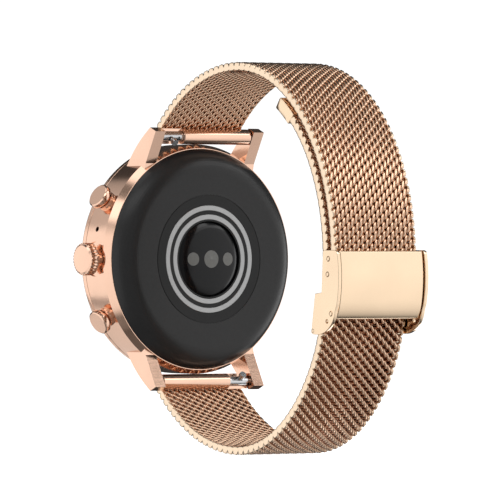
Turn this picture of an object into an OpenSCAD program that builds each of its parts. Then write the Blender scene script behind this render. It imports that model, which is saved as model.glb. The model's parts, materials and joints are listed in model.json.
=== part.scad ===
// Smartwatch: round metal case, crown and two pushers, optical sensor back,
// and a woven metal strap in two halves that meet in a sliding clasp.
// The origin is the centre of the wrist. +X is the crown side, -Y faces the dial,
// +Z is twelve o'clock. Millimetres.

/* [Case] */
// Radius of the middle case
case_r = 20; // [19.8:0.1:20.4]
// Distance from the wrist centre to the flat of the back cover
back_y = -19; // [-20:0.5:-18]
// Height of the crown and pusher axes below the back flat
axis_depth = 6.5; // [6.3:0.1:6.7]
// Radius of the black back cover
back_r = 19.15; // [18.9:0.05:19.2]
// Radius of the cover glass
glass_r = 17.85; // [17.6:0.05:17.9]

/* [Lugs] */
// Half of the gap between a pair of lugs
lug_gap = 9.6; // [9.5:0.05:9.7]
// Thickness of one lug
lug_t = 2.2; // [2:0.1:2.4]
// Distance of the spring bar axes from the case centre
bar_z = 21.3; // [21.1:0.1:21.5]
// Height of the spring bar axes below the back flat
bar_depth = 1.6; // [1.5:0.1:1.7]

/* [Sensor] */
// Outer radius of the outer contact ring
ring_out_r = 9.35; // [9.2:0.05:9.6]
// Outer radius of the inner contact ring
ring_in_r = 7.78; // [7.7:0.02:7.9]
// Width of each contact ring
ring_w = 0.88; // [0.7:0.02:0.95]
// Radius of the sensor lens
lens_r = 6.55; // [6.4:0.05:6.6]
// Rise of the lens dome over the back flat
dome_h = 0.7; // [0.5:0.1:1.2]
// Spacing of the three sensor windows
window_gap = 3.75; // [3.6:0.05:3.9]

/* [Controls] */
// Radius of the crown
crown_r = 2.8; // [2.5:0.1:2.9]
// Number of grooves round the crown
crown_grooves = 32; // [20:2:40]
// Angle of each pusher from the crown
pusher_angle = 30; // [28:1:34]
// Radius of a pusher's head
pusher_r = 2.15; // [2:0.05:2.3]

/* [Strap] */
// Half width of the woven strap
strap_half = 8.35; // [8:0.05:8.4]
// Thickness of the woven strap's core
strap_t = 1.2; // [1:0.1:1.3]
// Half height of the strap loop at twelve o'clock, to the core's middle
loop_top = 32.95; // [32.5:0.05:33.4]
// Half height of the loop at six o'clock
loop_bottom = 32.7; // [32.4:0.05:33]
// Reach of the loop from the wrist centre towards the case
loop_front = 30.5; // [30.3:0.1:30.7]
// Reach of the outer layer towards the clasp
loop_back = 27.0; // [27:0.05:27.1]
// Reach of the inner layer, the strap's tail
tail_back = 24.8; // [24.7:0.05:24.85]
// Half height that the tail layer would reach
tail_top = 30.5; // [30.3:0.1:30.6]
// Reach of the lower strap below the clasp
lower_back = 25.6; // [25.4:0.1:25.6]

/* [Clasp] */
// Half width of the clasp, outside its side plates
clasp_half = 9.7; // [9.6:0.05:9.9]
// Thickness of a side plate
plate_t = 0.65; // [0.5:0.05:0.7]

/* [Hidden] */
$fn = 64;
gap = 0.05;
round_fn = 180;
// Depths below the back flat: the case's chamfered edge, the ledge that carries the back,
// the seat of the bezel and the front of the glass.
edge_depth = -2.5;
ledge_depth = -4.2;
bezel_depth = -9.1;
glass_depth = -11.35;
cavity_r = 17.6;
chamfer = 0.7;
seat_r = glass_r - 0.55;
// The main board and the four screws that hold it to the chassis.
board_low = -8.7;
board_high = -8.1;
screw_ring = 15.2;
screw_angles = [75, 150, 210, 285];
// Radii of the crown's stem and its tube, and of the pushers' stems and tubes.
crown_stem_r = 0.8;
crown_tube_r = 1.5;
pusher_stem_r = 0.7;
pusher_neck_r = 1.25;
pusher_tube_r = 1.75;
stem_x = 15.9;
crown_x = 20.75;
crown_l = 1.7;
pusher_x = 21.25;
pusher_l = 0.8;
groove_depth = 0.16;
// The spring bars, the tubes round them and the release knobs.
bar_r = 0.8;
bar_tip_r = 0.5;
bar_half = 9.1;
tip_half = 10.5;
tube_r = 1.35;
tube_half = 9.4;
cut_x = 4.9;
release_x = 7.4;
release_tilt = 35;
core_half = strap_t / 2;
plate_in = clasp_half - plate_t;
cover_half = plate_in - 0.1;
cap_half = 8.75;
cap_out = 1.05;
pin_r = 0.35;
flap_pin = [22.75, -12];
cover_pin = [27.65, -9.1];
hook_pin = [26.95, 0.1];
tie_pin = [26.75, -2.5];
steps = 3;
upper_start = 141;
upper_end = 2.2;
lower_start = -141;
tail_end = 55;

// ---- placing ----

// Local +Z becomes the watch's +Y, with zero at the back flat.
module on_case() translate([0, back_y, 0]) rotate([-90, 0, 0]) children();

// A profile drawn as [y, z] is extruded along X, from x0 to x1.
module across(x0, x1)
  translate([x0, 0, 0]) rotate([90, 0, 90]) linear_extrude(x1 - x0) children();

// Local +Z becomes the outward radius at an angle from the crown, at the controls' depth.
module radial(angle)
  translate([0, back_y - axis_depth, 0]) rotate([0, 90 - angle, 0]) children();

// A ring or disc about the case axis, between two depths.
module band(r_in, r_out, low, high) on_case() translate([0, 0, low]) difference() {
  cylinder(r = r_out, h = high - low);
  if (r_in > 0) translate([0, 0, -1]) cylinder(r = r_in, h = high - low + 2);
}

// A tube along local Z.
module pipe(r_in, r_out, low, high) translate([0, 0, low]) difference() {
  cylinder(r = r_out, h = high - low);
  if (r_in > 0) translate([0, 0, -1]) cylinder(r = r_in, h = high - low + 2);
}

// A rod along X through [y, z].
module rod(at, r, x0, x1)
  translate([x0, at[0], at[1]]) rotate([0, 90, 0]) cylinder(r = r, h = x1 - x0);

// A box inside the case, centred on [x, z], w by d across, between two depths.
module board_box(x, z, w, d, low, high)
  on_case() translate([x - w / 2, -z - d / 2, low]) cube([w, d, high - low]);

// A coil spring along local Z: a wire with flat sides, swept round a helix ring by ring.
coil_rings = 10;
coil_sides = 6;
function coil_ring(a, r, wire, z) = [for (j = [0 : coil_sides - 1])
  let (b = 360 * j / coil_sides, out = r + wire * cos(b))
  [out * cos(a), out * sin(a), z + wire * sin(b)]];
function coil_points(r, wire, low, high, turns) = [for (i = [0 : coil_rings * turns])
  let (z = low + wire + (high - low - 2 * wire) * i / (coil_rings * turns))
  each coil_ring(360 * i / coil_rings, r, wire, z)];
function coil_side(i) = [for (j = [0 : coil_sides - 1])
  let (a = coil_sides * i, b = a + coil_sides, k = (j + 1) % coil_sides)
  [a + j, b + j, b + k, a + k]];
function coil_faces(rings) = concat(
  [[for (j = [0 : coil_sides - 1]) j]],
  [for (i = [0 : rings - 1]) each coil_side(i)],
  [[for (j = [coil_sides - 1 : -1 : 0]) coil_sides * rings + j]]);
module coil(r, wire, low, high, turns)
  polyhedron(coil_points(r, wire, low, high, turns), coil_faces(coil_rings * turns));

// ---- strap path ----

// Smooth step from 0 to 1.
function ease(u) = let (v = min(1, max(0, u))) v * v * (3 - 2 * v);
// Reach of the upper strap at an angle from the clasp side.
function upper_reach(t) = t > 90 ? loop_front : loop_back;
// Reach of the lower strap, drawn in as it passes into the clasp.
function lower_reach(t) =
  t < -90 ? loop_front : lower_back + (tail_back - lower_back) * ease((t + 32) / 32);
function lower_height(t) = t < 0 ? loop_bottom : tail_top;
// A point of the strap's middle line, moved outwards by o.
function upper_at(t, o) = [(upper_reach(t) + o) * cos(t), (loop_top + o) * sin(t)];
function lower_at(t, o) = [(lower_reach(t) + o) * cos(t), (lower_height(t) + o) * sin(t)];
// Outlines of the two halves, out along one face and back along the other.
function upper_face(o, a, b) = [for (i = [0 : steps : b - a - 1]) upper_at(a + i, o), upper_at(b, o)];
function lower_face(o, a, b) = [for (i = [0 : steps : b - a - 1]) lower_at(a + i, o), lower_at(b, o)];
function flip(list) = [for (i = [len(list) - 1 : -1 : 0]) list[i]];
function upper_outline(inner, outer, a, b) =
  concat(upper_face(outer, a, b), flip(upper_face(inner, a, b)));
function lower_outline(inner, outer, a, b) =
  concat(lower_face(outer, a, b), flip(lower_face(inner, a, b)));

// ---- case ----

// Side outline of one lug, as [depth, z]: a bowed front, a cut tip and a straight back.
function lug_front(n) = [for (i = [0 : n])
  let (u = i / n, bow = 0.32 * sin(180 * u)) [-8.1 + 6.8 * u - bow, 16.2 + 6.6 * u + bow]];
lug_outline = concat([[-8.1, 15.3]], lug_front(8), [[0.3, 22.1], [-2.6, 16.6], [-2.9, 15.3]]);

module lug_pair() {
  for (side = [0, 1]) mirror([side, 0, 0])
    translate([0, back_y, 0]) across(lug_gap, lug_gap + lug_t) polygon(lug_outline);
}

module case_middle() color("#e2a98c") difference() {
  union() {
    on_case() rotate_extrude($fn = round_fn) polygon([
      [cavity_r, bezel_depth], [case_r, bezel_depth], [case_r, edge_depth - 2 * chamfer],
      [case_r - chamfer, edge_depth], [back_r + gap, edge_depth],
      [back_r + gap, ledge_depth], [cavity_r, ledge_depth]]);
    lug_pair();
    mirror([0, 0, 1]) lug_pair();
  }
  band(0, back_r + gap, ledge_depth, 1);
  for (side = [-1, 1], end = [-1, 1])
    rod([back_y - bar_depth, end * bar_z], bar_tip_r + 0.1,
      side * (lug_gap + 0.65) - 0.75, side * (lug_gap + 0.65) + 0.75);
  radial(0) pipe(0, crown_tube_r + 0.01, 15, 25);
  radial(0) pipe(0, crown_r + 0.25, case_r - 0.55, 25);
  for (side = [-1, 1]) radial(side * pusher_angle) pipe(0, pusher_tube_r + 0.01, 15, 25);
  radial(15) pipe(0, 0.45, 15, 25);
}

// The front ring: a small step, then a rounded lip that holds the glass.
module bezel() color("#e2a98c") on_case() rotate_extrude($fn = round_fn) polygon([
  [seat_r, bezel_depth - 0.02], [case_r - 0.4, bezel_depth - 0.02],
  [case_r - 0.4, bezel_depth - 0.2], [case_r - gap, bezel_depth - 0.2],
  [case_r - gap, glass_depth + 1.1], [case_r - 0.5, glass_depth + 0.55],
  [case_r - 1.4, glass_depth + 0.15], [glass_r + gap, glass_depth + gap],
  [glass_r + gap, glass_depth + 1.15], [seat_r, glass_depth + 1.15]]);

module cover_glass() color("#101214") on_case() rotate_extrude($fn = round_fn) polygon([
  [0, glass_depth + 1.03], [glass_r, glass_depth + 1.03], [glass_r, glass_depth + 0.25],
  [glass_r - 0.5, glass_depth], [0, glass_depth]]);

module glass_gasket() color("#222222")
  band(glass_r - 0.5, glass_r - gap, glass_depth + 1.04, glass_depth + 1.14);

module display_panel() color("#1a1c22") band(0, 16.6, glass_depth + 1.15, -9.5);

module antenna_ring() color("#8a8f94") band(16.75, 17.15, -10.1, -9.5);

// Something drawn at each screw's place, along its axis.
module at_screws()
  for (a = screw_angles) on_case() rotate([0, 0, a]) translate([screw_ring, 0, 0]) children();

module chassis() color("#3a3d42") difference() {
  union() {
    band(0, seat_r - gap, -9.3, -8.8);
    band(16.6, seat_r - gap, -9.3, -5.2);
  }
  on_case() translate([8, -14, -8.8]) cube([12, 28, 6]);
  at_screws() pipe(0, 0.52, -10, -6);
}

module main_board() color("#1f5136") difference() {
  band(0, 16.2, board_low, board_high);
  at_screws() pipe(0, 0.6, -10, -6);
}

module board_screws() color("#9a9da0") at_screws() {
  pipe(0, 0.5, -9.2, board_high + 0.01);
  pipe(0, 0.85, board_high + 0.01, board_high + 0.5);
}

module shield_can() color("#b8bbc0") difference() {
  board_box(5.2, 2.5, 10.4, 13, board_high + 0.02, -6.6);
  board_box(5.2, 2.5, 10, 12.6, board_high - 0.1, -6.8);
}

module battery() color("#5a5f66") board_box(-6.6, 0, 11, 20, board_high + gap, -5);

module vibration_motor() color("#a9abad")
  on_case() translate([4.5, 10.2, 0]) pipe(0, 3.5, board_high + gap, -5.6);

module microphone() color("#c9ccd0") radial(15) translate([0, 0, 14.2]) difference() {
  translate([-1.2, -1.2, 0]) cube([2.4, 2.4, 1.1]);
  translate([0, 0, 0.5]) cylinder(r = 0.35, h = 2);
}

// Three small push switches on the board, one behind the crown and one behind each pusher.
module switches() color("#2b2b2e") for (a = [-pusher_angle, 0, pusher_angle]) radial(a) {
  translate([-1.4, -1.5, 13.4]) cube([2.8, 3, 1.3]);
  pipe(0, 0.6, 14.7, 15.1);
}

// ---- back ----

// The rim's curve, from the case's edge to the back flat, as [radius, depth].
rim_curve_r = 4.37;
rim_flat_r = 15.2;
function rim(n) = [for (i = [0 : n])
  let (y = edge_depth * pow((n - i) / n, 2))
  [rim_flat_r + sqrt(pow(rim_curve_r, 2) - pow(rim_curve_r + y, 2)), y]];

module back_cover() color("#26272a") difference() {
  on_case() rotate_extrude($fn = round_fn) polygon(concat(
    [[lens_r + gap, 0], [lens_r + gap, -0.95], [lens_r - 0.6, -0.95], [lens_r - 0.6, -1.5],
     [14.6, -1.5], [16.6, -2.6], [16.8, -4.9], [17.3, -4.9],
     [17.3, ledge_depth + gap], [back_r, ledge_depth + gap]],
    rim(12)));
  band(ring_out_r - ring_w - 0.02, ring_out_r + 0.02, -0.52, 1);
  band(ring_in_r - ring_w - 0.02, ring_in_r + 0.02, -0.52, 1);
  band(11.1, 11.22, -0.1, 1);
}

module back_gasket() color("#1c1c1e") band(17.32, 17.58, -4.8, -4.4);

module charge_ring(r) color("#a6a7a8") on_case() rotate_extrude($fn = 120) polygon([
  [r - ring_w, -0.5], [r, -0.5], [r, -0.02], [r - 0.04, 0.02],
  [r - ring_w + 0.04, 0.02], [r - ring_w, -0.02]]);

module charge_ring_outer() charge_ring(ring_out_r);

module charge_ring_inner() charge_ring(ring_in_r);

module charge_magnet() color("#77797c") band(7.2, 8.3, -2.5, -1.55);

// The lens body: a short drum under a shallow dome.
dome_r = (pow(lens_r, 2) + pow(dome_h, 2)) / (2 * dome_h);
module dome() intersection() {
  on_case() translate([0, 0, dome_h - dome_r]) sphere(r = dome_r, $fn = 200);
  band(0, lens_r, -0.9, dome_h + 1);
}

module window_columns(extra) on_case() {
  pipe(0, 1.53 + extra, -0.5, 3);
  for (side = [-1, 1]) translate([side * window_gap, 0, 0]) pipe(0, 1.15 + extra, -0.5, 3);
}

module sensor_lens() color("#141518") difference() {
  dome();
  window_columns(0.02);
}

module sensor_windows() color("#5b5c58") intersection() {
  dome();
  window_columns(0);
}

module sensor_board() color("#1f5136") band(0, 5.6, -2.6, -2.05);

module sensor_leds() color("#d8d3c0") {
  board_box(0, 0, 1.8, 1.8, -2.04, -1.3);
  for (side = [-1, 1]) board_box(side * window_gap, 0, 1.2, 1.6, -2.04, -1.3);
}

// ---- crown and pushers ----

module crown_tube() color("#c98f74")
  radial(0) pipe(crown_stem_r + 0.06, crown_tube_r, 17, case_r - 0.6);

module crown_gasket() color("#1c1c1e")
  radial(0) pipe(crown_stem_r + gap, 1.3, 16.6, 16.95);

// The bush that the crown turns in: it slides in with the crown and presses the switch.
module crown_slider() color("#b8bbc0") radial(0) difference() {
  pipe(0, 1.35, 15.6, 16.05);
  pipe(0, 0.45, 15.8, 17);
}

module crown() color("#d99a7c") radial(0) {
  pipe(0, crown_stem_r / 2, stem_x, 16.1);
  pipe(0, crown_stem_r, 16.1, 20.2);
  pipe(0, 1.1, 20.2, crown_x + gap);
  translate([0, 0, crown_x]) linear_extrude(crown_l)
    polygon([for (i = [0 : 2 * crown_grooves - 1])
      let (r = crown_r - (i % 2) * groove_depth, a = 180 * i / crown_grooves)
      [r * cos(a), r * sin(a)]]);
  translate([0, 0, crown_x + crown_l])
    cylinder(r1 = crown_r - groove_depth - 0.01, r2 = crown_r - 0.45, h = 0.22);
}

module pusher_tubes() color("#d99a7c") for (side = [-1, 1]) radial(side * pusher_angle) {
  pipe(pusher_stem_r + 0.06, pusher_tube_r, 17.3, 17.6);
  pipe(pusher_neck_r + 0.06, pusher_tube_r, 17.6, 20.4);
}

module pusher(side) color("#d99a7c") radial(side * pusher_angle) {
  pipe(0, pusher_stem_r, 15.7, 18.9);
  pipe(0, pusher_neck_r, 18.9, pusher_x - gap);
  translate([0, 0, pusher_x - 0.15]) cylinder(r1 = pusher_r - 0.15, r2 = pusher_r, h = 0.15);
  pipe(0, pusher_r, pusher_x, pusher_x + pusher_l);
  translate([0, 0, pusher_x + pusher_l]) cylinder(r1 = pusher_r, r2 = pusher_r - 0.2, h = 0.18);
}

module pusher_spring(side) color("#9a9da0")
  radial(side * pusher_angle) coil(0.98, 0.12, 17.62, 18.88, 3);

module upper_pusher() pusher(1);
module upper_pusher_spring() pusher_spring(1);
module lower_pusher() pusher(-1);
module lower_pusher_spring() pusher_spring(-1);

// ---- strap ends, drawn at twelve o'clock and turned half round Y for six o'clock ----
// Each release knob leans towards the case, and slides along a slot in its bar.

module at_bar() translate([0, back_y - bar_depth, bar_z]) children();
module turned() rotate([0, 180, 0]) children();

module end_tube() color("#e2a98c") at_bar() difference() {
  rotate([0, 90, 0]) pipe(bar_r + 0.06, tube_r, -tube_half, tube_half);
  translate([cut_x, 0.1, -3]) cube([6, 3, 6]);
}

module spring_bar() color("#8d8f93") at_bar() difference() {
  rotate([0, 90, 0]) {
    pipe(0, bar_r, -bar_half, bar_half);
    pipe(0, bar_tip_r, -tip_half, -bar_half);
  }
  rotate([0, 90, 0]) pipe(0, bar_tip_r + 0.06, 0.5, bar_half + 0.4);
  rotate([-release_tilt, 0, 0]) translate([release_x - 1.8, 0, -0.42]) cube([2.3, 2, 0.84]);
}

module bar_spring() color("#9a9da0") at_bar() rotate([0, 90, 0]) coil(0.33, 0.11, 0.52, 4.45, 8);

module bar_release() color("#8d8f93") at_bar() {
  rotate([0, 90, 0]) pipe(0, bar_tip_r, 4.5, tip_half);
  translate([release_x, 0, 0]) rotate([-90 - release_tilt, 0, 0]) {
    pipe(0, 0.36, 0, 1.75);
    pipe(0, 0.6, 1.45, 2.1);
  }
}

module upper_end_tube() end_tube();
module upper_spring_bar() spring_bar();
module upper_bar_spring() bar_spring();
module upper_bar_release() bar_release();
module lower_end_tube() turned() end_tube();
module lower_spring_bar() turned() spring_bar();
module lower_bar_spring() turned() bar_spring();
module lower_bar_release() turned() bar_release();

// ---- woven strap ----

module bar_clear(end) rod([back_y - bar_depth, end * bar_z], tube_r + 0.03, -30, 30);

module upper_mesh() color("#b98a6c") difference() {
  across(-strap_half, strap_half)
    polygon(upper_outline(-core_half, core_half, upper_end, upper_start));
  bar_clear(1);
}

// A folded tab on the upper strap's end, hooked round the clasp's first rivet.
module upper_hook() color("#e2a98c") difference() {
  union() {
    rod(hook_pin, 0.88, -8.2, 8.2);
    across(-8.2, 8.2) polygon([[26.3, 0.3], [27.7, 0.3], [27.7, 1.2], [26.3, 1.2]]);
  }
  rod(hook_pin, 0.55, -9, 9);
}

module lower_mesh() color("#b98a6c") difference() {
  across(-strap_half, strap_half)
    polygon(lower_outline(-core_half, core_half, lower_start, tail_end));
  bar_clear(-1);
}

// The folded metal end of the tail, closed over the weave's last rows.
module tail_cap() color("#e8b596") difference() {
  across(-cap_half, cap_half)
    polygon(lower_outline(-cap_out, cap_out, tail_end - 4, tail_end + 5));
  across(-9, strap_half + 0.02)
    polygon(lower_outline(-core_half - 0.02, core_half + 0.02, tail_end - 6, tail_end + 0.1));
}

// ---- clasp ----

// Side plate outline as [y, z]: stepped on the wrist side, bowed outside, round below.
function bow(n) = [for (i = [0 : n])
  let (z = 0.9 - 8.6 * i / n) [29.75 - 0.025 * pow(z + 3, 2), z]];
function heel(n) = [for (i = [0 : n])
  let (a = -8 - 84 * i / n) [23.95 + 4.9 * cos(a), -7.9 + 4.75 * sin(a)]];
plate_outline = concat(
  [[25.5, 1.3], [25.75, 1.55], [28.8, 1.55], [29.25, 1.3]], bow(8), heel(10),
  [[22.7, -12.6], [22.3, -12.3], [23.35, -5.75], [25.1, -5.55]]);

module side_plates()
  for (side = [0, 1]) mirror([side, 0, 0]) across(plate_in, clasp_half) polygon(plate_outline);

module clasp_frame() color("#f0c9a6") difference() {
  side_plates();
  for (pin = [hook_pin, tie_pin, cover_pin, flap_pin]) rod(pin, pin_r + 0.01, -20, 20);
  rod([26.6, -10.4], 0.32, -20, 20);
}

// Two rivets tie the side plates: the first carries the upper strap's hook.
module clasp_rivets() color("#f0c9a6")
  for (pin = [hook_pin, tie_pin]) rod(pin, pin_r, -clasp_half - 0.06, clasp_half + 0.06);

// The thin plate between the strap's tail and the cover, rolled round the second rivet.
module clasp_bridge() color("#d9a98a") difference() {
  union() {
    rod(tie_pin, 0.62, -plate_in, plate_in);
    across(-plate_in, plate_in) polygon([[26.55, -2.5], [27.05, -2.5], [26.45, -8], [26, -8]]);
  }
  rod(tie_pin, pin_r + 0.01, -20, 20);
}

// Cover outline: a bowed plate that curls in at its lower edge, with a hinge barrel behind.
function cover_face(o, n) = [for (i = [0 : n])
  let (z = 1.5 - 11.6 * i / n)
  [29.45 - o - 0.022 * pow(z + 3, 2) - 0.5 * ease((-7 - z) / 3.5), z]];
module clasp_cover() color("#f4d3b0") difference() {
  union() {
    across(-cover_half, cover_half)
      polygon(concat(cover_face(0, 16), flip(cover_face(0.55, 16))));
    for (side = [-1, 1]) rod(cover_pin, 0.62, side * 7.6 - 1.2, side * 7.6 + 1.2);
  }
  rod(cover_pin, 0.4, -20, 20);
}

module clasp_cover_pin() color("#f0c9a6")
  rod(cover_pin, pin_r, -clasp_half - 0.06, clasp_half + 0.06);

// The flap on the wrist side that locks the weave, pivoted at its lower edge.
module lock_flap() color("#e2a98c") difference() {
  union() {
    across(-cover_half, cover_half)
      polygon([[22.22, -11.8], [22.57, -11.8], [23.68, -5.8], [23.33, -5.8]]);
    for (side = [-1, 1]) rod(flap_pin, 0.5, side * 8.7 - 0.22, side * 8.7 + 0.22);
  }
  rod(flap_pin, 0.3, -20, 20);
}

module lock_flap_pin() color("#f0c9a6")
  for (side = [-1, 1]) rod(flap_pin, 0.25, side * 9.08 - 0.58, side * 9.08 + 0.58);

case_middle();
bezel();
cover_glass();
glass_gasket();
display_panel();
antenna_ring();
chassis();
main_board();
board_screws();
shield_can();
battery();
vibration_motor();
microphone();
switches();
crown_tube();
crown_gasket();
pusher_tubes();
back_cover();
back_gasket();
charge_ring_outer();
charge_ring_inner();
charge_magnet();
sensor_lens();
sensor_windows();
sensor_board();
sensor_leds();
crown_slider();
crown();
upper_pusher();
upper_pusher_spring();
lower_pusher();
lower_pusher_spring();
upper_end_tube();
upper_spring_bar();
upper_bar_spring();
upper_bar_release();
upper_mesh();
upper_hook();
lower_end_tube();
lower_spring_bar();
lower_bar_spring();
lower_bar_release();
lower_mesh();
tail_cap();
clasp_frame();
clasp_rivets();
clasp_bridge();
clasp_cover();
clasp_cover_pin();
lock_flap();
lock_flap_pin();
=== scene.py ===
"""The looks of the smartwatch: woven strap, polished metal, satin back and gloss sensor.

Metres. +X is the crown side, -Y faces the dial, +Z is twelve o'clock, and the origin is the
centre of the wrist.
"""
import json
import math

import bmesh
import bpy
import numpy as np
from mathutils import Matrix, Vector


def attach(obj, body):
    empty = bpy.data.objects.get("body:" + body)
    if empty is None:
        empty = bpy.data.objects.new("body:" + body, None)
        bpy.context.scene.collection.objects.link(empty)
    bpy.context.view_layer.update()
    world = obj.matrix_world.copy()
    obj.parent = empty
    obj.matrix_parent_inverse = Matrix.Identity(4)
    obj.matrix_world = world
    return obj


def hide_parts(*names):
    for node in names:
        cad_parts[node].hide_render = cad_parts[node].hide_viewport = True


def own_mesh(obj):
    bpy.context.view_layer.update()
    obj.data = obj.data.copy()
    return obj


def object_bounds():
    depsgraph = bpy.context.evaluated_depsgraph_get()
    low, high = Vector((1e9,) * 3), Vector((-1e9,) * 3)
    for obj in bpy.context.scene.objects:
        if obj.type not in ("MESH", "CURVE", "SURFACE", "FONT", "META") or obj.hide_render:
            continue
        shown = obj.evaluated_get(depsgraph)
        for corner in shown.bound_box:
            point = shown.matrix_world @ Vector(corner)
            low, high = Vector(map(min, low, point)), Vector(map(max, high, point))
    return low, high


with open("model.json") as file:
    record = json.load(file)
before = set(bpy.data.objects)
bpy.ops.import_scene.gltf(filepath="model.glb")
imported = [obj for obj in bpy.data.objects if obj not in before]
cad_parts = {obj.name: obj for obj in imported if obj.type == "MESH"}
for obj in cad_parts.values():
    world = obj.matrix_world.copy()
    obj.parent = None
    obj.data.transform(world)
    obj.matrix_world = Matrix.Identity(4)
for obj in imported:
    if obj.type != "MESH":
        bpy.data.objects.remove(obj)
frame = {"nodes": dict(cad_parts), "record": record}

CAD_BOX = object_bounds()
MM = 0.001
NODES = frame["nodes"]


# ---------------------------------------------------------------- camera, floor and light

VIEW_ANGLE = math.radians(37.4)   # between the back's normal and the line of sight
VIEW_DISTANCE = 1.2
SENSOR_WIDTH, FOCAL_LENGTH = 36, 497                       # millimetres
TOWARD = Vector((math.sin(VIEW_ANGLE), math.cos(VIEW_ANGLE), 0))      # from the watch to the camera
RIGHT = Vector((-math.cos(VIEW_ANGLE), math.sin(VIEW_ANGLE), 0))      # to the camera's right
UP = Vector((0, 0, 1))
BACK_Y = -19 * MM                 # the back cover's flat
AIM_RIGHT = 7.11 * MM             # the view's centre, to the right of the back's centre
AIM_UP = 1.58 * MM
FLOOR_Z = CAD_BOX[0][2] - 0.3 * MM
FLOOR_REACH = 6.0
WHITE_LEVEL = 1.1                 # the white that the camera sees behind the watch
ROOM = [(0.0, 0.04), (0.35, 0.06), (0.55, 0.16), (0.8, 0.32), (1.0, 0.36)]   # brightness, back to front
# How a card fades, from one side to the other, and for some cards from foot to top.
CARD_SIDES = [(0.0, 0.0), (0.12, 1.0), (0.88, 1.0), (1.0, 0.0)]
SOFT_ENDS = [(0.0, 0.3), (0.3, 1.0), (0.7, 1.0), (1.0, 0.3)]
SOFT_FOOT = [(0.0, 0.2), (0.3, 1.0), (0.9, 1.0), (1.0, 0.4)]


def make_camera():
    """A long lens that looks at the wrist side; returns the point that it aims at."""
    aim = Vector((0, BACK_Y, AIM_UP)) + RIGHT * AIM_RIGHT
    data = bpy.data.cameras.new("camera")
    data.sensor_width = SENSOR_WIDTH
    data.lens = FOCAL_LENGTH
    data.clip_start = 0.05
    data.clip_end = 50
    camera = bpy.data.objects.new("camera", data)
    camera.location = aim + TOWARD * VIEW_DISTANCE
    camera.rotation_euler = TOWARD.to_track_quat("Z", "Y").to_euler()
    bpy.context.scene.collection.objects.link(camera)
    bpy.context.scene.camera = camera
    return aim


def sheet(name, wide, tall, height=0.0):
    """A flat rectangle of half sizes wide and tall."""
    mesh = bpy.data.meshes.new(name)
    corners = [(-wide, -tall, height), (wide, -tall, height), (wide, tall, height), (-wide, tall, height)]
    mesh.from_pydata(corners, [], [(0, 1, 2, 3)])
    return mesh


def emit_card(name, place, aim, size, level, stops):
    """A softbox out of the camera's sight: its light changes from its foot to its top as in stops."""
    mesh = sheet(name, size[0] / 2, size[1] / 2)
    material = bpy.data.materials.new(name)
    material.use_nodes = True
    tree = material.node_tree
    tree.nodes.remove(tree.nodes["Principled BSDF"])
    glow = tree.nodes.new("ShaderNodeEmission")
    where = tree.nodes.new("ShaderNodeTexCoord")
    split = tree.nodes.new("ShaderNodeSeparateXYZ")
    tree.links.new(where.outputs["Generated"], split.inputs["Vector"])
    foot_to_top = grey_ramp(tree, split.outputs["Y"], stops)
    side_to_side = grey_ramp(tree, split.outputs["X"], CARD_SIDES)
    both = tree.nodes.new("ShaderNodeMix")
    both.data_type = "RGBA"
    both.blend_type = "MULTIPLY"
    both.inputs["Factor"].default_value = 1
    tree.links.new(foot_to_top, both.inputs["A"])
    tree.links.new(side_to_side, both.inputs["B"])
    tree.links.new(both.outputs["Result"], glow.inputs["Color"])
    glow.inputs["Strength"].default_value = level
    tree.links.new(glow.outputs["Emission"], tree.nodes["Material Output"].inputs["Surface"])
    mesh.materials.append(material)
    card = bpy.data.objects.new(name, mesh)
    card.location = place
    card.rotation_euler = (Vector(place) - Vector(aim)).to_track_quat("Z", "Y").to_euler()
    bpy.context.scene.collection.objects.link(card)
    card.visible_camera = False
    card.visible_shadow = False


def make_floor():
    """A pale floor under the strap; it takes the strap's shadow but lights nothing."""
    mesh = sheet("floor", FLOOR_REACH, FLOOR_REACH, FLOOR_Z)
    material = bpy.data.materials.new("floor_paper")
    material.use_nodes = True
    shader = material.node_tree.nodes["Principled BSDF"]
    shader.inputs["Base Color"].default_value = (0.95, 0.95, 0.95, 1)
    shader.inputs["Roughness"].default_value = 0.9
    shader.inputs["Emission Color"].default_value = (1, 1, 1, 1)
    shader.inputs["Emission Strength"].default_value = 1.0
    mesh.materials.append(material)
    floor = bpy.data.objects.new("floor", mesh)
    bpy.context.scene.collection.objects.link(floor)
    floor.visible_glossy = False
    floor.visible_diffuse = False


def make_world():
    """White behind the watch; for reflections, a room that is dimmer behind the watch than before it."""
    world = bpy.data.worlds.new("studio")
    bpy.context.scene.world = world
    world.use_nodes = True
    tree = world.node_tree
    room = tree.nodes["Background"]
    where = tree.nodes.new("ShaderNodeTexCoord")
    front = tree.nodes.new("ShaderNodeVectorMath")
    front.operation = "DOT_PRODUCT"
    front.inputs[1].default_value = TOWARD
    lift = tree.nodes.new("ShaderNodeMapRange")
    lift.inputs["From Min"].default_value = -1
    lift.inputs["From Max"].default_value = 1
    white = tree.nodes.new("ShaderNodeBackground")
    white.inputs["Color"].default_value = (1, 1, 1, 1)
    white.inputs["Strength"].default_value = WHITE_LEVEL
    path = tree.nodes.new("ShaderNodeLightPath")
    mix = tree.nodes.new("ShaderNodeMixShader")
    tree.links.new(where.outputs["Generated"], front.inputs[0])
    tree.links.new(front.outputs["Value"], lift.inputs["Value"])
    tree.links.new(grey_ramp(tree, lift.outputs["Result"], ROOM), room.inputs["Color"])
    tree.links.new(path.outputs["Is Camera Ray"], mix.inputs["Fac"])
    tree.links.new(room.outputs["Background"], mix.inputs[1])
    tree.links.new(white.outputs["Background"], mix.inputs[2])
    tree.links.new(mix.outputs["Shader"], tree.nodes["World Output"].inputs["Surface"])


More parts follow.
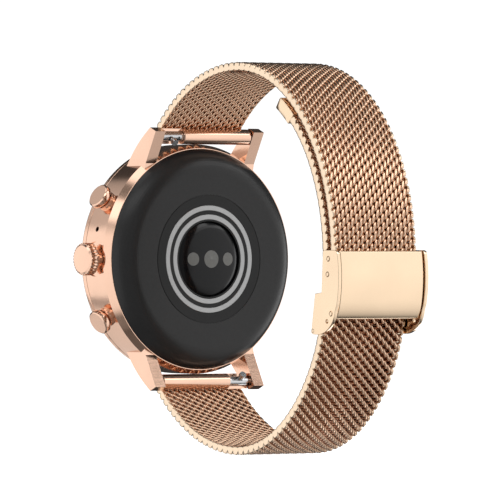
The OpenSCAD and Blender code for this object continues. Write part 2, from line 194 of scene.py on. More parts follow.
def make_stage(aim):
    """Softboxes on every side of the watch, named as the camera sees them."""
    make_floor()
    make_world()
    left = (-RIGHT * 0.94 + TOWARD * 0.34).normalized()
    emit_card("left_card", aim + left * 0.9 - UP * 0.2, aim - UP * 0.2, (2.4, 1.7), 1.12,
              [(0.0, 0.0), (0.15, 0.9), (0.5, 1.0), (0.8, 1.0), (1.0, 0.0)])
    emit_card("left_top", aim - RIGHT * 0.62 + TOWARD * 0.3 + UP * 0.55, aim, (0.5, 0.35), 1.6,
              SOFT_FOOT)
    emit_card("left_back", aim - RIGHT * 0.62 - TOWARD * 0.38 + UP * 0.45, aim, (0.5, 0.36), 0.75,
              [(0.0, 0.8), (0.5, 0.8), (1.0, 0.2)])
    emit_card("left_low", aim - RIGHT * 0.45 - TOWARD * 0.55 - UP * 0.56, aim, (0.9, 0.5), 0.82,
              [(0.0, 0.2), (0.3, 0.8), (0.7, 1.0), (1.0, 0.9)])
    emit_card("right_top", aim + RIGHT * 0.62 + TOWARD * 0.25 + UP * 0.66, aim, (0.5, 0.4), 3.2,
              [(0.0, 0.3), (0.3, 1.0), (0.9, 1.0), (1.0, 0.4)])
    emit_card("right_card", aim + RIGHT * 0.9 + TOWARD * 0.1 - UP * 0.15, aim - UP * 0.15, (1.1, 1.9), 1.15,
              [(0.0, 0.05), (0.06, 0.1), (0.15, 0.5), (0.3, 0.76), (0.45, 0.92), (0.6, 1.0), (0.8, 1.0),
               (0.92, 0.35), (1.0, 0.2)])
    emit_card("right_strip", aim + RIGHT * 0.8 + TOWARD * 0.1 + UP * 0.48, aim, (1.1, 0.2), 2.3,
              SOFT_FOOT)
    emit_card("right_back", aim + RIGHT * 0.75 - TOWARD * 0.5 - UP * 0.15, aim, (0.6, 0.7), 1.8,
              [(0.0, 0.2), (0.3, 1.0), (0.8, 1.0), (1.0, 0.2)])
    emit_card("floor_glow", aim - UP * 1.0 + TOWARD * 0.15 + RIGHT * 0.2, aim, (1.2, 1.2), 0.3, SOFT_ENDS)
    emit_card("low_right", aim - UP * 0.65 + RIGHT * 0.45 - TOWARD * 0.55, aim, (0.5, 0.4), 2.8, SOFT_ENDS)
    emit_card("front_top", aim + UP * 0.8 + TOWARD * 0.75 - RIGHT * 0.1, aim, (1.0, 0.5), 2.2,
              [(0.0, 0.3), (0.3, 1.0), (1.0, 0.8)])
    emit_card("overhead", aim + UP * 1.0 + TOWARD * 0.05 - RIGHT * 0.25, aim, (0.7, 0.5), 1.5,
              [(0.0, 0.0), (0.2, 1.0), (0.8, 1.0), (1.0, 0.0)])


# ---------------------------------------------------------------- materials

ISLAND_R = 11.16 * MM      # radius of the darker middle of the back
ISLAND_TONE = 0.35         # its colour, as a part of the rest's


def nodes_of(name):
    """A new material, with its node tree and shader."""
    material = bpy.data.materials.new(name)
    material.use_nodes = True
    tree = material.node_tree
    return material, tree, tree.nodes["Principled BSDF"]


def noise(tree, scale, detail=3.0, stretch=(1, 1, 1)):
    """A noise in the object's own metres, stretched along its axes."""
    where = tree.nodes.new("ShaderNodeTexCoord")
    mapping = tree.nodes.new("ShaderNodeMapping")
    mapping.inputs["Scale"].default_value = stretch
    texture = tree.nodes.new("ShaderNodeTexNoise")
    texture.inputs["Scale"].default_value = scale
    texture.inputs["Detail"].default_value = detail
    tree.links.new(where.outputs["Object"], mapping.inputs["Vector"])
    tree.links.new(mapping.outputs["Vector"], texture.inputs["Vector"])
    return texture.outputs["Fac"]


def ramp(tree, source, stops):
    """A colour ramp over source, from (position, colour) pairs."""
    node = tree.nodes.new("ShaderNodeValToRGB")
    elements = node.color_ramp.elements
    for k, (position, colour) in enumerate(stops):
        element = elements[k] if k < 2 else elements.new(position)
        element.position = position
        element.color = (*colour, 1)
    tree.links.new(source, node.inputs["Fac"])
    return node.outputs["Color"]


def grey_ramp(tree, source, stops):
    """A ramp of greys over source, from (position, level) pairs."""
    return ramp(tree, source, [(position, (level, level, level)) for position, level in stops])


def spread(tree, source, low, high):
    """Source's values from 0 to 1, moved to run from low to high."""
    node = tree.nodes.new("ShaderNodeMapRange")
    node.inputs["To Min"].default_value = low
    node.inputs["To Max"].default_value = high
    tree.links.new(source, node.inputs["Value"])
    return node.outputs["Result"]


def bump(tree, shader, source, strength, distance):
    node = tree.nodes.new("ShaderNodeBump")
    node.inputs["Strength"].default_value = strength
    node.inputs["Distance"].default_value = distance
    tree.links.new(source, node.inputs["Height"])
    tree.links.new(node.outputs["Normal"], shader.inputs["Normal"])


def polished(name, colour, rough=(0.08, 0.16), grain=(1, 1, 1), grain_scale=1500, depth=2e-6):
    """Plated metal: a slight change of tone, handling marks in its gloss, and a fine grain."""
    material, tree, shader = nodes_of(name)
    shader.inputs["Metallic"].default_value = 1
    tone = noise(tree, 90, 4)
    darker = tuple(c * 0.93 for c in colour)
    tree.links.new(ramp(tree, tone, [(0.35, darker), (0.65, colour)]), shader.inputs["Base Color"])
    marks = noise(tree, grain_scale, 5, grain)
    tree.links.new(spread(tree, marks, *rough), shader.inputs["Roughness"])
    bump(tree, shader, marks, 0.25, depth)
    return material


def dielectric(name, colour, rough, scale=2500, depth=3e-6, speckle=0.15, shine=0.5):
    """Plastic, rubber or glass: a fine moulded grain and a slight change of tone."""
    material, tree, shader = nodes_of(name)
    grain = noise(tree, scale, 4)
    lighter = tuple(c * (1 + speckle) for c in colour)
    tree.links.new(ramp(tree, grain, [(0.3, colour), (0.7, lighter)]), shader.inputs["Base Color"])
    tree.links.new(spread(tree, noise(tree, 120, 3), *rough), shader.inputs["Roughness"])
    shader.inputs["Specular IOR Level"].default_value = shine
    bump(tree, shader, grain, 0.2, depth)
    return material


def satin_back():
    """Satin black plastic, darker in the middle round the sensor."""
    material = dielectric("back_black", (0.026, 0.026, 0.0265), (0.26, 0.36), depth=2e-6, shine=0.28)
    tree = material.node_tree
    colour = tree.nodes["Principled BSDF"].inputs["Base Color"]
    grain = colour.links[0].from_socket
    where = tree.nodes.new("ShaderNodeTexCoord")
    flatten = tree.nodes.new("ShaderNodeVectorMath")
    flatten.operation = "MULTIPLY"
    flatten.inputs[1].default_value = (1, 0, 1)
    radius = tree.nodes.new("ShaderNodeVectorMath")
    radius.operation = "LENGTH"
    inside = tree.nodes.new("ShaderNodeMath")
    inside.operation = "LESS_THAN"
    inside.inputs[1].default_value = ISLAND_R
    darken = tree.nodes.new("ShaderNodeVectorMath")
    darken.operation = "SCALE"
    tree.links.new(where.outputs["Object"], flatten.inputs[0])
    tree.links.new(flatten.outputs["Vector"], radius.inputs[0])
    tree.links.new(radius.outputs["Value"], inside.inputs[0])
    tree.links.new(grain, darken.inputs[0])
    tree.links.new(spread(tree, inside.outputs["Value"], 1.0, ISLAND_TONE), darken.inputs["Scale"])
    tree.links.new(darken.outputs["Vector"], colour)
    return material


def turned_steel(name, colour, rough):
    """A ring turned on a lathe: fine circles about the case's axis."""
    material, tree, shader = nodes_of(name)
    shader.inputs["Metallic"].default_value = 1
    where = tree.nodes.new("ShaderNodeTexCoord")
    wave = tree.nodes.new("ShaderNodeTexWave")
    wave.wave_type = "RINGS"
    wave.rings_direction = "Y"
    wave.inputs["Scale"].default_value = 2600
    wave.inputs["Distortion"].default_value = 1.5
    wave.inputs["Detail"].default_value = 3
    tree.links.new(where.outputs["Object"], wave.inputs["Vector"])
    lines = wave.outputs["Fac"]
    darker = tuple(c * 0.85 for c in colour)
    tree.links.new(ramp(tree, lines, [(0.2, darker), (0.8, colour)]), shader.inputs["Base Color"])
    tree.links.new(spread(tree, lines, *rough), shader.inputs["Roughness"])
    bump(tree, shader, lines, 0.15, 3e-6)
    return material


GOLD = polished("rose_gold", (0.95, 0.62, 0.46), rough=(0.10, 0.2), grain=(1, 12, 1), grain_scale=700)
CLASP_GOLD = polished("clasp_gold", (0.96, 0.73, 0.51), rough=(0.1, 0.18), grain=(1, 6, 6))
# Painted shade: the straight wires are the coils' gold darkened to a reddish brown, standing for the shade
# deep in the weave.
PAINTED_SHADE_ROD_GOLD = polished("painted_shade_gold", (0.5, 0.24, 0.14), rough=(0.3, 0.4), grain_scale=3000)
WIRE_GOLD = polished("woven_gold", (0.93, 0.63, 0.44), rough=(0.14, 0.26), grain_scale=3000)
EDGE_GOLD = polished("pressed_gold", (0.96, 0.75, 0.55), rough=(0.16, 0.26), grain_scale=2000)
BACK_BLACK = satin_back()
LENS_BLACK = dielectric("lens_black", (0.005, 0.005, 0.006), (0.12, 0.18), depth=2e-7, shine=0.25)
WINDOW_GREY = dielectric("window_grey", (0.15, 0.15, 0.14), (0.2, 0.3), depth=5e-7)
CONTACT_STEEL = turned_steel("contact_steel", (0.42, 0.42, 0.42), (0.3, 0.45))
GLASS_BLACK = dielectric("display_glass", (0.003, 0.003, 0.004), (0.02, 0.05), depth=1e-7, shine=0.35)
PANEL_BLACK = dielectric("panel", (0.01, 0.01, 0.012), (0.1, 0.2))
STEEL = polished("steel", (0.66, 0.66, 0.67), rough=(0.16, 0.3))
SEAL = dielectric("seal", (0.015, 0.015, 0.015), (0.6, 0.8))
INNER_PLASTIC = dielectric("inner_plastic", (0.04, 0.04, 0.045), (0.45, 0.6))
CIRCUIT_BOARD = dielectric("circuit_board", (0.01, 0.09, 0.04), (0.35, 0.5), scale=900, speckle=0.6)
BATTERY_FOIL = polished("battery_foil", (0.5, 0.5, 0.52), rough=(0.3, 0.45))
DIODE = dielectric("diode", (0.6, 0.55, 0.4), (0.1, 0.2))

FINISH = {
    "rose_gold": GOLD, "clasp_gold": CLASP_GOLD, "woven_gold": WIRE_GOLD, "back_black": BACK_BLACK,
    "lens_black": LENS_BLACK, "window_grey": WINDOW_GREY, "contact_steel": CONTACT_STEEL,
    "display_glass": GLASS_BLACK, "panel": PANEL_BLACK, "steel": STEEL, "seal": SEAL,
    "inner_plastic": INNER_PLASTIC, "circuit_board": CIRCUIT_BOARD, "battery_foil": BATTERY_FOIL,
    "diode": DIODE,
}


def finish_cad_nodes():
    """Every CAD node takes the material of its slot in the record."""
    for row in frame["record"]["subparts"]:
        node = NODES[row["node"]]
        node.data.materials.clear()
        node.data.materials.append(FINISH[row["material_slot"]])


# ---------------------------------------------------------------- making pieces

SHARP = math.radians(50)   # edges that turn more than this stay sharp


def piece(name, verts, faces, material, body, replaces):
    """A smooth mesh piece that rides on a body, in place of the CAD nodes that it replaces."""
    mesh = bpy.data.meshes.new(name)
    mesh.from_pydata(verts, [], faces)
    mesh.validate()
    mesh.shade_smooth()
    mesh.materials.append(material)
    made = bpy.data.objects.new(name, mesh)
    bpy.context.scene.collection.objects.link(made)
    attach(made, body)
    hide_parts(*replaces)
    return made


def tube_faces(rings, sides, first):
    """Faces of a tube of rings, and its two end caps, from the vertex first."""
    faces = []
    for i in range(rings - 1):
        a = first + i * sides
        for j in range(sides):
            k = (j + 1) % sides
            faces.append((a + j, a + k, a + sides + k, a + sides + j))
    faces.append(tuple(first + j for j in range(sides - 1, -1, -1)))
    last = first + (rings - 1) * sides
    faces.append(tuple(last + j for j in range(sides)))
    return faces


def smooth_group():
    """A node group, for a modifier, that only shades its mesh smooth."""
    group = bpy.data.node_groups.new("shade_smooth", "GeometryNodeTree")
    group.interface.new_socket("Geometry", in_out="INPUT", socket_type="NodeSocketGeometry")
    group.interface.new_socket("Geometry", in_out="OUTPUT", socket_type="NodeSocketGeometry")
    start = group.nodes.new("NodeGroupInput")
    end = group.nodes.new("NodeGroupOutput")
    shade = group.nodes.new("GeometryNodeSetShadeSmooth")
    group.links.new(start.outputs[0], shade.inputs["Geometry"])
    group.links.new(shade.outputs["Geometry"], end.inputs[0])
    return group


def soften(node, width, group):
    """Real rounded edges, width millimetres across, on a CAD node, by modifiers alone."""
    weld = node.modifiers.new("weld", "WELD")
    weld.merge_threshold = 1e-6
    bevel = node.modifiers.new("rounded", "BEVEL")
    bevel.width = width * MM
    bevel.segments = 2
    bevel.limit_method = "ANGLE"
    bevel.angle_limit = math.radians(35)
    bevel.use_clamp_overlap = True
    smooth = node.modifiers.new("smooth", "NODES")
    smooth.node_group = group
    normals = node.modifiers.new("normals", "WEIGHTED_NORMAL")
    normals.keep_sharp = False
    normals.weight = 80


EDGES = {     # the width of the rounded edges of each CAD node that shows, in millimetres
    "bezel": 0.1, "crown": 0.04,
    "upper_pusher": 0.08, "lower_pusher": 0.08, "pusher_tubes": 0.06, "upper_end_tube": 0.06,
    "lower_end_tube": 0.06, "lock_flap": 0.06, "clasp_bridge": 0.06, "upper_hook": 0.08,
}


def soften_nodes():
    """Rounded edges on the CAD nodes that show."""
    group = smooth_group()
    for name, width in EDGES.items():
        soften(NODES[name], width, group)


def ease(u):
    """A smooth step from 0 to 1."""
    v = np.clip(u, 0, 1)
    return v * v * (3 - 2 * v)


# ---------------------------------------------------------------- sensor

# Millimetres: the rim's radius, the dome's rise, where it starts to roll over, and how far it rolls.
LENS_R, LENS_RISE, LENS_SHOULDER, LENS_DROP = 6.55, 0.7, 4.9, 0.36
LENS_SKIN = 0.015          # how far the dome stays inside the CAD lens
LENS_SIDES = 128
LENS_FOOT = -0.9           # its lower end, from the back's flat


def lens_dome():
    """The sensor's lens: a shallow dome that rolls over at its rim, into the groove round it."""
    dome_r = (LENS_R ** 2 + LENS_RISE ** 2) / (2 * LENS_RISE)
    shoulder = np.linspace(LENS_SHOULDER, LENS_R, 21)
    radii = np.concatenate([np.linspace(0.05, LENS_SHOULDER, 10), shoulder[1:]])
    sag = dome_r - np.sqrt(dome_r ** 2 - radii ** 2)
    roll = LENS_DROP * (np.clip(radii - LENS_SHOULDER, 0, None) / (LENS_R - LENS_SHOULDER)) ** 2.2
    rise = LENS_RISE - LENS_SKIN - sag - roll
    around = 2 * math.pi * np.arange(LENS_SIDES) / LENS_SIDES
    rings = [np.stack([r * np.sin(around), np.full(LENS_SIDES, BACK_Y / MM + h), r * np.cos(around)], axis=1)
             for r, h in zip(np.append(radii, LENS_R), np.append(rise, LENS_FOOT))]
    lens = piece("lens_dome", (np.concatenate(rings) * MM).tolist(), tube_faces(len(rings), LENS_SIDES, 0),
                 LENS_BLACK, "case", replaces=["sensor_lens"])
    lens.data.set_sharp_from_angle(angle=SHARP)


# ---------------------------------------------------------------- springs

COIL_SIDES = 8             # round the wire
COIL_STEPS = 24            # round one turn
CASE_Y, BAR_Y, BAR_Z = -25.5, -20.6, 21.3        # millimetres: the pushers' middle, and the spring bars
PUSHER_TILT = 30           # degrees from the crown's axis
# Millimetres: radius, wire, low end and high end along the axis, and turns.
PUSHER_COIL = (0.98, 0.12, 17.62, 18.86, 3)
BAR_COIL = (0.33, 0.11, 0.52, 4.45, 8)


def coil(name, centre, axis, sizes, body, node):
    """A coil spring round an axis from centre."""
    radius, wire, low, high, turns = sizes
    steps = COIL_STEPS * turns
    axis = np.array(axis, float)
    side = np.cross(axis, [0.0, 1.0, 0.0])
    other = np.cross(axis, side)
    verts = []
    for i in range(steps + 1):
        a = 2 * math.pi * i / COIL_STEPS
        outward = math.cos(a) * side + math.sin(a) * other
        middle = low + wire + (high - low - 2 * wire) * i / steps
        for j in range(COIL_SIDES):
            b = 2 * math.pi * j / COIL_SIDES
            point = (radius + wire * math.cos(b)) * outward + (middle + wire * math.sin(b)) * axis
            verts.append(((np.array(centre) + point) * MM).tolist())
    made = piece(name, verts, tube_faces(steps + 1, COIL_SIDES, 0), STEEL, body, replaces=[node])
    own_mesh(made)


def make_springs():
    """The springs behind the pushers and inside the spring bars."""
    for name, tilt in (("upper", PUSHER_TILT), ("lower", -PUSHER_TILT)):
        outward = (math.cos(math.radians(tilt)), 0, math.sin(math.radians(tilt)))
        coil(f"{name}_button_coil", (0, CASE_Y, 0), outward, PUSHER_COIL, "case",
             f"{name}_pusher_spring")
    for name, sign in (("upper", 1), ("lower", -1)):
        coil(f"{name}_bar_coil", (0, BAR_Y, sign * BAR_Z), (sign, 0, 0), BAR_COIL, f"{name}_strap",
             f"{name}_bar_spring")


# ---------------------------------------------------------------- clasp

# Millimetres, and pairs of y and z, all through the clasp.
COVER_TOP, COVER_FOOT, COVER_HALF, COVER_THICK = 1.5, -10.1, 8.88, 0.55
COVER_FACE, COVER_BOW = 29.45, 0.022             # y at the bow's middle, and how fast it falls off
BOW_MIDDLE = -3            # z of the middle of the cover's and the plates' bow
CURL_TOP, CURL_HEIGHT, CURL = -7, 3.1, 0.5       # the cover's foot curls in below this, and by this much
COVER_STEPS = 64           # points along the cover's outline
COVER_ROUND = 0.26         # how far from each end its round starts
# Distance from the cover's side and how far its outline is drawn in there.
COVER_RIM = [(0.0, 0.2), (0.03, 0.1), (0.09, 0.03), (0.18, 0.0), (0.26, 0.0), (0.4, 0.0), (0.8, 0.0)]
BARRELS = (-7.6, 7.6)      # the middles of the cover's two barrels, which turn on its pin
BARREL = [(0.41, -1.2), (0.55, -1.2), (0.6, -1.12), (0.6, 1.12), (0.55, 1.2), (0.41, 1.2)]
HOOK_RIVET, BRIDGE_RIVET, COVER_PIN, FLAP_PIN, HEEL_HOLE = (
    (26.95, 0.1), (26.75, -2.5), (27.65, -9.1), (22.75, -12), (26.6, -10.4))
PINS = {"clasp_rivets": (HOOK_RIVET, BRIDGE_RIVET), "clasp_cover_pin": (COVER_PIN,)}
PLATE_X = 9.7              # the side plates' outer faces
PLATE_THICK = 0.65
PLATE_FACE, PLATE_BOW = 29.75, 0.025
PLATE_STEPS = 24           # points along the bow, and round the heel
HEEL_CENTRE, HEEL_RADII = (23.95, -7.9), (4.9, 4.75)
PLATE_ROUND = 0.07
PLATE_HOLES = ((HOOK_RIVET, 0.44), (BRIDGE_RIVET, 0.44), (COVER_PIN, 0.44), (FLAP_PIN, 0.3),
               (HEEL_HOLE, 0.36))    # with their radii
HOLE_SIDES = 24
TURNED_SIDES = 32


def cover_y(z):
    """The cover's outer face: bowed, and curled in at its foot."""
    curl = CURL * np.clip((CURL_TOP - z) / CURL_HEIGHT, 0, 1) ** 2.5
    return COVER_FACE - COVER_BOW * (z - BOW_MIDDLE) ** 2 - curl


def cover_ring(x, inset):
    """The cover's rounded outline at x, drawn in by inset."""
    along = 0.5 - 0.5 * np.cos(np.pi * np.arange(COVER_STEPS + 1) / COVER_STEPS)
    z = COVER_TOP - inset + (COVER_FOOT - COVER_TOP + 2 * inset) * along
    slope = (cover_y(z + 0.01) - cover_y(z - 0.01)) / 0.02
    normal = np.stack([np.ones_like(z), -slope], axis=1) / np.sqrt(1 + slope ** 2)[:, None]
    near_end = np.minimum(z - z[-1], z[0] - z)
    depth = np.clip(1 - near_end / COVER_ROUND, 0, 1)
    half = (COVER_THICK / 2 - inset) * np.sqrt(1 - depth ** 2)
    middle = np.stack([cover_y(z), z], axis=1) - normal * COVER_THICK / 2
    outer = middle + normal * half[:, None]
    inner = (middle - normal * half[:, None])[-2:0:-1]
    loop = np.concatenate([outer, inner])
    return np.column_stack([np.full(len(loop), x), loop]) * MM


def cover_shell():
    """The clasp's cover: a bowed plate with round edges, and the barrels that hold it to its pin."""
    stations = [(-COVER_HALF + d, i) for d, i in COVER_RIM]
    stations += [(COVER_HALF - d, i) for d, i in reversed(COVER_RIM)]
    rings = [cover_ring(x, inset) for x, inset in stations]
    sides = len(rings[0])
    shell = piece("cover_shell", np.concatenate(rings).tolist(), tube_faces(len(rings), sides, 0),
                  CLASP_GOLD, "cover", replaces=["clasp_cover"])
    shell.data.set_sharp_from_angle(angle=SHARP)
    for k, middle in enumerate(BARRELS):
        centre = (middle, *COVER_PIN)
        turned_piece(f"cover_barrel_{k + 1}", BARREL, centre, "cover", "clasp_cover", closed=True)


def turned_piece(name, profile, centre, body, node, closed=False):
    """A part of the clasp turned about X: profile is (radius, x) pairs, closed if it has a bore."""
    verts, faces = [], []
    for r, x in profile:
        for k in range(TURNED_SIDES):
            a = 2 * math.pi * k / TURNED_SIDES
            point = (centre[0] + x, centre[1] + r * math.cos(a), centre[2] + r * math.sin(a))
            verts.append(tuple(v * MM for v in point))
    rows = len(profile)
    for i in range(rows if closed else rows - 1):
        for k in range(TURNED_SIDES):
            n = (k + 1) % TURNED_SIDES
            a, b = i * TURNED_SIDES, ((i + 1) % rows) * TURNED_SIDES
            faces.append((a + k, b + k, b + n, a + n))
    if not closed:
        faces.append(tuple(range(TURNED_SIDES - 1, -1, -1)))
        faces.append(tuple((rows - 1) * TURNED_SIDES + k for k in range(TURNED_SIDES)))
    made = piece(name, verts, faces, CLASP_GOLD, body, replaces=[node])
    made.data.set_sharp_from_angle(angle=SHARP)


def plate_outline():
    """A side plate's outline as (y, z): stepped on the wrist side, bowed outside, round below."""
    shares = [i / PLATE_STEPS for i in range(PLATE_STEPS + 1)]
    bow = [(PLATE_FACE - PLATE_BOW * (z - BOW_MIDDLE) ** 2, z) for z in (0.9 - 8.6 * u for u in shares)]
    heel = [(HEEL_CENTRE[0] + HEEL_RADII[0] * math.cos(a), HEEL_CENTRE[1] + HEEL_RADII[1] * math.sin(a))
            for a in (math.radians(-8 - 84 * u) for u in shares)]
    return ([(25.5, 1.3), (25.75, 1.55), (28.8, 1.55), (29.25, 1.3)] + bow + heel
            + [(22.7, -12.6), (22.3, -12.3), (23.35, -5.75), (25.1, -5.55)])


def side_plates():
    """Both side plates, cut with their pin holes and rounded at every edge."""
    for name, sign in (("clasp_plate_right", 1), ("clasp_plate_left", -1)):
        curve = bpy.data.curves.new(name, "CURVE")
        curve.dimensions = "2D"
        curve.fill_mode = "BOTH"
        curve.extrude = PLATE_THICK / 2 - PLATE_ROUND
        curve.bevel_depth = PLATE_ROUND
        curve.bevel_resolution = 2
        curve.offset = -PLATE_ROUND
        rings = [plate_outline()]
        for (y, z), r in PLATE_HOLES:
            rings.append([(y + r * math.cos(a), z + r * math.sin(a))
                          for a in (2 * math.pi * k / HOLE_SIDES for k in range(HOLE_SIDES))])
        for ring in rings:
            spline = curve.splines.new("POLY")
            spline.points.add(len(ring) - 1)
            spline.use_cyclic_u = True
            for point, (y, z) in zip(spline.points, ring):
                point.co = (y, z, 0, 1)
        shape = bpy.data.objects.new(name + "_curve", curve)
        solid = shape.to_mesh()
        middle = sign * (PLATE_X - PLATE_THICK / 2)
        verts = [((middle + v.co.z) * MM, v.co.x * MM, v.co.y * MM) for v in solid.vertices]
        faces = [tuple(f.vertices) for f in solid.polygons]
        shape.to_mesh_clear()
        bpy.data.objects.remove(shape)
        plate = piece(name, verts, faces, CLASP_GOLD, "clasp", replaces=["clasp_frame"])
        weld = bmesh.new()
        weld.from_mesh(plate.data)
        bmesh.ops.remove_doubles(weld, verts=weld.verts, dist=1e-7)
        weld.to_mesh(plate.data)
        weld.free()
        for face in plate.data.polygons:
            face.use_smooth = abs(face.normal.x) < 0.99


def clasp_pins():
    """Pins with a domed head in each side plate."""
    head = [(0.34, PLATE_X - 0.35), (0.34, PLATE_X - 0.1), (0.4, PLATE_X - 0.02), (0.4, PLATE_X + 0.03),
            (0.34, PLATE_X + 0.09), (0.22, PLATE_X + 0.14), (0.08, PLATE_X + 0.16)]
    rod = [(r, -x) for r, x in reversed(head)] + head
    for node, places in PINS.items():
        for k, (y, z) in enumerate(places):
            turned_piece(f"{node}_{k + 1}", rod, (0, y, z), "clasp", node)


# ---------------------------------------------------------------- woven strap

PITCH = 1.87 * MM          # one turn of a wire, across the strap
ROW = 0.73 * MM            # from one wire to the next, along the strap
WIRE = 0.26 * MM           # radius of the wire
ROD = 0.3 * MM             # radius of the straight wires inside the coils
ROD_SIDES = 8              # round a straight wire
WEAVE_HALF = 8.45 * MM     # half width of the weave inside its edge loops
EDGE_HALF = 8.72 * MM      # half width over the edge loops
RISE = 0.53 * MM           # half thickness at the wire's middle
UPPER_REACH = 0.85 * MM    # how far a turn reaches along the strap, each way
LOWER_REACH = 0.6 * MM
UPPER_LEAN, LOWER_LEAN = -0.03 * MM, 0.06 * MM   # how far a strand leans over from its even slope
SQUARENESS = 2.0           # how fast a turn crosses from one face to the other
TURN_STEPS = 20            # rings in each turn
WIRE_SIDES = 6             # round a coiled wire
NOTCH = 2 * ROW            # from one notch of the edge to the next
NOTCH_WIDTH = 0.14         # of a notch's pitch
BAND_TOP, BAND_FOOT = 0.74 * MM, -0.7 * MM       # the edge band's faces between its notches
NOTCH_TOP, NOTCH_FOOT = 0.5 * MM, 0.16 * MM      # how deep a notch goes into each
BAND_HALF = 0.2 * MM       # half width of the edge band
BAND_STEPS = 14            # rings of the edge band for each notch
BAND_SIDES = 12
BAND_START, BAND_STOP = 0.3 * MM, 0.6 * MM       # how far from the path's ends the edge band ends
BAR_ANGLE = 141.5          # degrees round the loop, from the clasp to where each half meets its bar
TAIL_ANGLE = 57.5          # degrees from the clasp to the tail's end
TAIL_RISE = 32             # degrees over which the lower half draws in below the clasp
PATH_STEP = 0.25
# The strap's middle line follows quarter ellipses of these reaches, up, down, to the dial and clasp.
LOOP_TOP, LOOP_BOTTOM, LOOP_FRONT = 32.95 * MM, 32.7 * MM, 30.5 * MM
OUTER_BACK, TAIL_BACK, TAIL_TOP, LOWER_BACK = 27.0 * MM, 24.8 * MM, 30.5 * MM, 25.6 * MM
# The tail's cap: its faces out from the strap's middle line, its half width and its corners' radius.
CAP_LOW, CAP_HIGH, CAP_HALF, CAP_CORNER = -1.25 * MM, 0.92 * MM, 8.75 * MM, 0.2 * MM
CAP_START, CAP_STOP = 51.2, 61.2                 # degrees on the tail's ellipse
CAP_RIM = ((0.0, 0.12), (0.03, 0.06), (0.08, 0.02), (0.15, 0.0))   # millimetres from its side, and drawn in
CAP_STEPS = 12             # points along each long side, so that it follows the strap's curve


class StrapPath:
    """The strap's middle line in the YZ plane, by arc length."""

    def __init__(self, angles, reach, height):
        t = np.radians(angles)
        self.points = np.stack([reach * np.cos(t), height * np.sin(t)], axis=1)
        steps = np.linalg.norm(np.diff(self.points, axis=0), axis=1)
        self.arc = np.concatenate([[0], np.cumsum(steps)])
        self.length = self.arc[-1]
        tangent = np.gradient(self.points, self.arc, axis=0)
        tangent /= np.linalg.norm(tangent, axis=1, keepdims=True)
        self.normal = np.stack([tangent[:, 1], -tangent[:, 0]], axis=1)

    def at(self, x, along, out):
        """Points at x across, an arc length along and a height out from the middle line."""
        y = np.interp(along, self.arc, self.points[:, 0])
        z = np.interp(along, self.arc, self.points[:, 1])
        ny = np.interp(along, self.arc, self.normal[:, 0])
        nz = np.interp(along, self.arc, self.normal[:, 1])
        return np.stack([x, y + ny * out, z + nz * out], axis=-1)


def upper_path():
    """From the clasp over the top to the upper spring bar."""
    t = np.arange(0.5, BAR_ANGLE, PATH_STEP)
    return StrapPath(t, np.where(t > 90, LOOP_FRONT, OUTER_BACK), LOOP_TOP)


def lower_path():
    """From the lower spring bar under the wrist, through the clasp, to the tail inside the upper half."""
    t = np.arange(-BAR_ANGLE, TAIL_ANGLE, PATH_STEP)
    back = LOWER_BACK + (TAIL_BACK - LOWER_BACK) * ease((t + TAIL_RISE) / TAIL_RISE)
    reach = np.where(t < -90, LOOP_FRONT, back)
    return StrapPath(t, reach, np.where(t < 0, LOOP_BOTTOM, TAIL_TOP))


def wire_row(path, along, shift, hand, reach, lean):
    """Ring vertices of one coiled wire that runs across the strap, wound left or right."""
    steady = np.linspace(-WEAVE_HALF, WEAVE_HALF, int(2 * WEAVE_HALF / PITCH * TURN_STEPS) + 1)
    turn = 2 * math.pi * (steady / PITCH + shift)
    x = steady + lean * np.sin(2 * turn)
    out = RISE * np.tanh(SQUARENESS * np.cos(turn)) / math.tanh(SQUARENESS)
    sway = -reach * np.sin(turn)
    middle = path.at(hand * x, along + sway, out)
    tangent = np.gradient(middle, axis=0)
    tangent /= np.linalg.norm(tangent, axis=1, keepdims=True)
    side = np.cross(tangent, np.array([1.0, 0, 0]))
    side /= np.linalg.norm(side, axis=1, keepdims=True)
    other = np.cross(tangent, side)
    spokes = 2 * math.pi * np.arange(WIRE_SIDES) / WIRE_SIDES
    rings = (middle[:, None, :] + WIRE * (np.cos(spokes)[None, :, None] * side[:, None, :]
                                          + np.sin(spokes)[None, :, None] * other[:, None, :]))
    return rings.reshape(-1, 3)


def cross_wires(name, path, rows, body, node):
    """The straight wires that run through the coils, coloured darker than the coils that cover them as
    painted shade in the weave's holes.
    """
    spokes = 2 * math.pi * np.arange(ROD_SIDES) / ROD_SIDES
    verts, faces = [], []
    for row in range(rows):
        along = (row + 1) * ROW + ROD * np.cos(spokes)
        faces += tube_faces(2, ROD_SIDES, 2 * ROD_SIDES * row)
        verts += [path.at(np.full(ROD_SIDES, x), along, ROD * np.sin(spokes))
                  for x in (-WEAVE_HALF, WEAVE_HALF)]
    piece(name, np.concatenate(verts).tolist(), faces, PAINTED_SHADE_ROD_GOLD, body, replaces=[node])


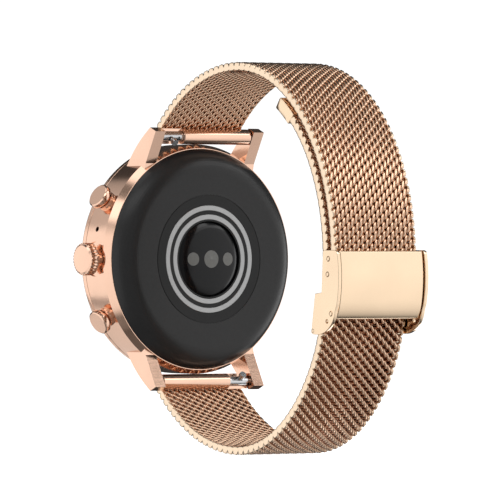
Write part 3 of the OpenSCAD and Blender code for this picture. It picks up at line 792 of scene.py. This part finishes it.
def tail_cap():
    """The folded metal end of the tail, with its corners and edges rounded."""
    angles = np.arange(40, 66, PATH_STEP)
    path = StrapPath(angles, TAIL_BACK, TAIL_TOP)
    start, stop = (np.interp(t, angles, path.arc) for t in (CAP_START, CAP_STOP))
    rings = []
    for edge, inset in CAP_RIM:
        corner = CAP_CORNER - inset * MM
        long, tall = (stop - start) / 2 - CAP_CORNER, (CAP_HIGH - CAP_LOW) / 2 - CAP_CORNER
        loop = [(x * long + corner * math.cos(a), y * tall + corner * math.sin(a))
                for x, y, first in ((1, 1, 0), (-1, 1, 90), (-1, -1, 180), (1, -1, 270))
                for a in (math.radians(first + 15 * k) for k in range(7))]
        top = [(long * (1 - 2 * k / CAP_STEPS), tall + corner) for k in range(1, CAP_STEPS)]
        loop = loop[:7] + top + loop[7:21] + [(u, -v) for u, v in reversed(top)] + loop[21:]
        along = np.array([(start + stop) / 2 + u for u, _ in loop])
        rings.append((edge * MM, along, np.array([(CAP_LOW + CAP_HIGH) / 2 + v for _, v in loop])))
    sections = [path.at(np.full(len(s), edge - CAP_HALF), s, v) for edge, s, v in rings]
    sections += [path.at(np.full(len(s), CAP_HALF - edge), s, v) for edge, s, v in reversed(rings)]
    cap = piece("folded_tail_cap", np.concatenate(sections).tolist(),
                tube_faces(len(sections), len(sections[0]), 0), CLASP_GOLD, "lower_strap",
                replaces=["tail_cap"])
    cap.data.set_sharp_from_angle(angle=SHARP)


def edge_band(name, path, start, stop, sign, body, node):
    """The pressed edge of the weave: a smooth rounded band with notches, deeper on its outer side."""
    along = np.arange(start, stop, NOTCH / BAND_STEPS)
    beat = (along / NOTCH) % 1 - 0.5
    notch = np.exp(-(beat / NOTCH_WIDTH) ** 2)
    high = BAND_TOP - NOTCH_TOP * notch
    low = BAND_FOOT + NOTCH_FOOT * notch
    spokes = 2 * math.pi * np.arange(BAND_SIDES) / BAND_SIDES
    wide = np.sign(np.cos(spokes)) * np.abs(np.cos(spokes)) ** 0.5
    tall = np.sign(np.sin(spokes)) * np.abs(np.sin(spokes)) ** 0.5
    x = sign * (EDGE_HALF - BAND_HALF * (1 - wide))
    rings = [path.at(x, np.full(BAND_SIDES, s), (h + l) / 2 + (h - l) / 2 * tall)
             for s, h, l in zip(along, high, low)]
    piece(name, np.concatenate(rings).tolist(), tube_faces(len(rings), BAND_SIDES, 0),
          EDGE_GOLD, body, replaces=[node])


def weave(name, path, start, stop, hand, reach, lean, body, node):
    """The coiled wires of the strap from one row to another."""
    verts, faces, count = [], [], 0
    for row in range(start, stop):
        rings = wire_row(path, (row + 1) * ROW, 0.5 * (row % 2), hand, reach, lean)
        faces += tube_faces(len(rings) // WIRE_SIDES, WIRE_SIDES, count)
        verts.append(rings)
        count += len(rings)
    piece(name, np.concatenate(verts).tolist(), faces, WIRE_GOLD, body, replaces=[node])


def make_weaves():
    """Both halves of the strap, each in a few pieces, wound opposite ways."""
    halves = (("upper", upper_path(), 2, 1, UPPER_REACH, UPPER_LEAN),
              ("lower", lower_path(), 3, -1, LOWER_REACH, LOWER_LEAN))
    for side, path, parts, hand, reach, lean in halves:
        rows = int(path.length / ROW) - 2
        per = 2 * math.ceil(rows / parts / 2)
        body, node = f"{side}_strap", f"{side}_mesh"
        for k in range(parts):
            stop = min(rows, (k + 1) * per)
            weave(f"{side}_weave_{k + 1}", path, k * per, stop, hand, reach, lean, body, node)
        cross_wires(f"{side}_cross_wires", path, rows, body, node)
        for sign, end in ((1, "right"), (-1, "left")):
            edge_band(f"{side}_edge_{end}", path, BAND_START, path.length - BAND_STOP, sign, body, node)


# ---------------------------------------------------------------- all together

make_stage(make_camera())
bpy.context.scene.view_settings.view_transform = "Standard"
finish_cad_nodes()
soften_nodes()
lens_dome()
make_springs()
cover_shell()
side_plates()
clasp_pins()
make_weaves()
tail_cap()
